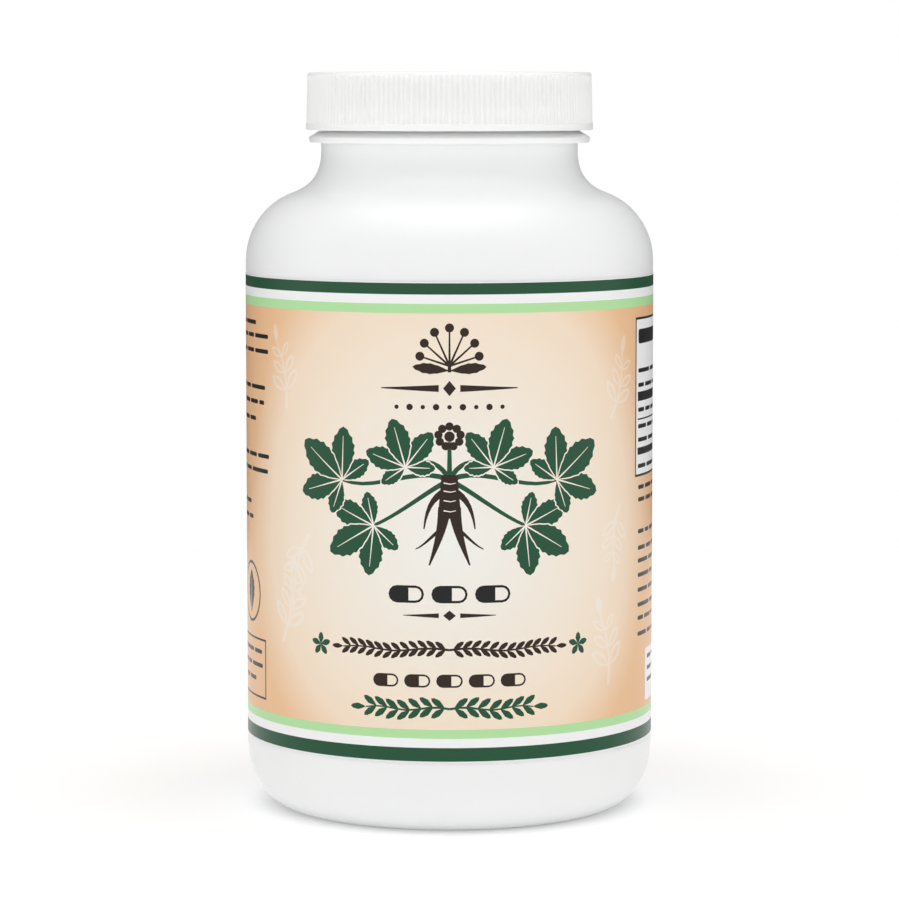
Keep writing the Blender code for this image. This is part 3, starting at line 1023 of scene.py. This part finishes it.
def ring_tree():
    """Geometry nodes that repeat a wedge round Z and weld the wedges into one piece."""
    tree = bpy.data.node_groups.new("ring_of_wedges", "GeometryNodeTree")
    face = tree.interface
    face.new_socket("Wedge", in_out="INPUT", socket_type="NodeSocketGeometry")
    face.new_socket("Ribs", in_out="INPUT", socket_type="NodeSocketInt")
    face.new_socket("Weld Distance", in_out="INPUT", socket_type="NodeSocketFloat")
    face.new_socket("Material", in_out="INPUT", socket_type="NodeSocketMaterial")
    face.new_socket("Ring", in_out="OUTPUT", socket_type="NodeSocketGeometry")
    given = put(tree, "NodeGroupInput").outputs
    places = put(tree, "GeometryNodePoints", {"Count": given["Ribs"]})
    index = put(tree, "GeometryNodeInputIndex").outputs["Index"]
    turned = maths(tree, "DIVIDE", maths(tree, "MULTIPLY", index, tau), given["Ribs"])
    rotation = put(tree, "ShaderNodeCombineXYZ", {"Z": turned})
    copies = put(
        tree,
        "GeometryNodeInstanceOnPoints",
        {
            "Points": places.outputs["Geometry"],
            "Instance": given["Wedge"],
            "Rotation": rotation.outputs["Vector"],
        },
    )
    joined = put(tree, "GeometryNodeRealizeInstances", {"Geometry": copies.outputs["Instances"]})
    welded = put(
        tree,
        "GeometryNodeMergeByDistance",
        {"Geometry": joined.outputs["Geometry"], "Distance": given["Weld Distance"]},
    )
    whole = put(tree, "GeometryNodeRealizeInstances", {"Geometry": welded.outputs["Geometry"]})
    dressed = put(
        tree,
        "GeometryNodeSetMaterial",
        {"Geometry": whole.outputs["Geometry"], "Material": given["Material"]},
    )
    put(tree, "NodeGroupOutput", {"Ring": dressed.outputs["Geometry"]})
    return tree


CAP_DARK = (0.925, 0.925, 0.91, 1.0)
CAP_LIGHT = (0.945, 0.945, 0.93, 1.0)
cap_plastic = plastic("cap_pp", CAP_DARK, CAP_LIGHT, roughness=0.4, cloud_scale=60.0, glow_depth=2.5)
cap = shaped(
    new_piece("cap_shell", cap_wedge()),
    ring_tree(),
    ribs=RIB_COUNT,
    weld_distance=WELD,
    material=cap_plastic,
)
points = mesh_points(cap.data)
radii = np.hypot(points[:, 0], points[:, 1])
turns = np.arctan2(points[:, 1], points[:, 0]) / tau % 1.0
on_bore = (np.abs(radii - BORE_RADIUS) < NEAR) & (points[:, 2] < CAP_CEILING - BORE_CHAMFER / 2)
stand = np.zeros_like(radii)
stand[on_bore] = CAP_THREAD_HEIGHT * thread_share(
    turns[on_bore],
    points[on_bore, 2],
    THREAD_START_HEIGHT - CAP_THREAD_DROP,
    CAP_THREAD_START,
    CAP_THREAD_TURNS,
    CAP_THREAD_ROOT_WIDTH,
    CAP_THREAD_CREST_WIDTH,
)
points[:, :2] *= ((radii - stand) / np.maximum(radii, 0.001))[:, None]
set_mesh_points(cap.data, points)
finished(cap.data, CAP_SMOOTH_TO)
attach(cap, "cap")
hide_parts("cap")


# The studio: a matt white table that glows a little, a tent of soft light in front that dims with
# height, a narrow light in the roof, and a room behind that is dark at the bottle's own height,
# which draws the grey edges on the white plastic.
TABLE_REACH = 0.4
TABLE_GLOW = 0.12
TENT_LIGHT = 1.19
TENT_EDGE = (-0.68, 0.05)
TENT_RISE = (0.0, 0.55)
TENT_HIGH_SHARE = 0.55
ROOM_LOW_LIGHT = 0.08
ROOM_HIGH_LIGHT = 0.55
ROOM_RISE = (0.1, 0.6)
ROOF_LIGHT = 1.7
ROOF_EDGE = (0.75, 0.98)

table_mesh = bpy.data.meshes.new("table")
table_corners = [(-1, -1), (1, -1), (1, 1), (-1, 1)]
table_mesh.from_pydata(
    [(x * TABLE_REACH, y * TABLE_REACH, 0.0) for x, y in table_corners], [], [(0, 1, 2, 3)]
)
table_white = film("table_white", (0.95, 0.95, 0.95), 1.0)
table_shader = table_white.node_tree.nodes["Principled BSDF"]
table_shader.inputs["Specular IOR Level"].default_value = 0.0
table_shader.inputs["Emission Color"].default_value = (1.0, 1.0, 1.0, 1.0)
table_shader.inputs["Emission Strength"].default_value = TABLE_GLOW
table_mesh.materials.append(table_white)
table = new_piece("table", table_mesh)

world = bpy.data.worlds.new("tent")
world.use_nodes = True
sky = world.node_tree
sky.nodes.clear()
direction = put(sky, "ShaderNodeTexCoord").outputs["Generated"]
towards = put(sky, "ShaderNodeSeparateXYZ", {"Vector": direction}).outputs
forwards = maths(sky, "MULTIPLY", towards["Y"], -1.0)


def eased(value, edge, low, high):
    """A smooth change from the low to the high value as the direction crosses the edge."""
    given = {"Value": value, "From Min": edge[0], "From Max": edge[1], "To Min": low, "To Max": high}
    return put(sky, "ShaderNodeMapRange", given, interpolation_type="SMOOTHSTEP").outputs["Result"]


room = eased(towards["Z"], ROOM_RISE, ROOM_LOW_LIGHT, ROOM_HIGH_LIGHT)
tent = eased(forwards, TENT_EDGE, room, TENT_LIGHT)
dimming = eased(towards["Z"], TENT_RISE, 1.0, TENT_HIGH_SHARE)
roof = eased(towards["Z"], ROOF_EDGE, 0.0, ROOF_LIGHT)
glow = maths(sky, "ADD", maths(sky, "MULTIPLY", tent, dimming), roof)
lit = put(sky, "ShaderNodeBackground", {"Strength": glow})
lit.inputs["Color"].default_value = (1.0, 1.0, 1.0, 1.0)
seen = put(sky, "ShaderNodeBackground", {"Strength": 1.0})
seen.inputs["Color"].default_value = (1.0, 1.0, 1.0, 1.0)
ray = put(sky, "ShaderNodeLightPath").outputs["Is Camera Ray"]
choice = put(
    sky,
    "ShaderNodeMixShader",
    {0: ray, 1: lit.outputs["Background"], 2: seen.outputs["Background"]},
)
put(sky, "ShaderNodeOutputWorld", {"Surface": choice.outputs["Shader"]})
bpy.context.scene.world = world
bpy.context.scene.view_settings.view_transform = "Standard"

# The camera: a long lens three quarters of a metre in front, level with the neck and looking a
# few degrees down at the label.
CAMERA_TILT = 5.474
CAMERA_PLACE = (0.0, -0.72815, 0.13954)
FOCAL_LENGTH = 148.42
lens = bpy.data.cameras.new("camera")
lens.lens = FOCAL_LENGTH
lens.sensor_width = 36.0
camera = bpy.data.objects.new("camera", lens)
camera.location = CAMERA_PLACE
camera.rotation_euler = (radians(90.0 - CAMERA_TILT), 0.0, 0.0)
bpy.context.scene.collection.objects.link(camera)
bpy.context.scene.camera = camera
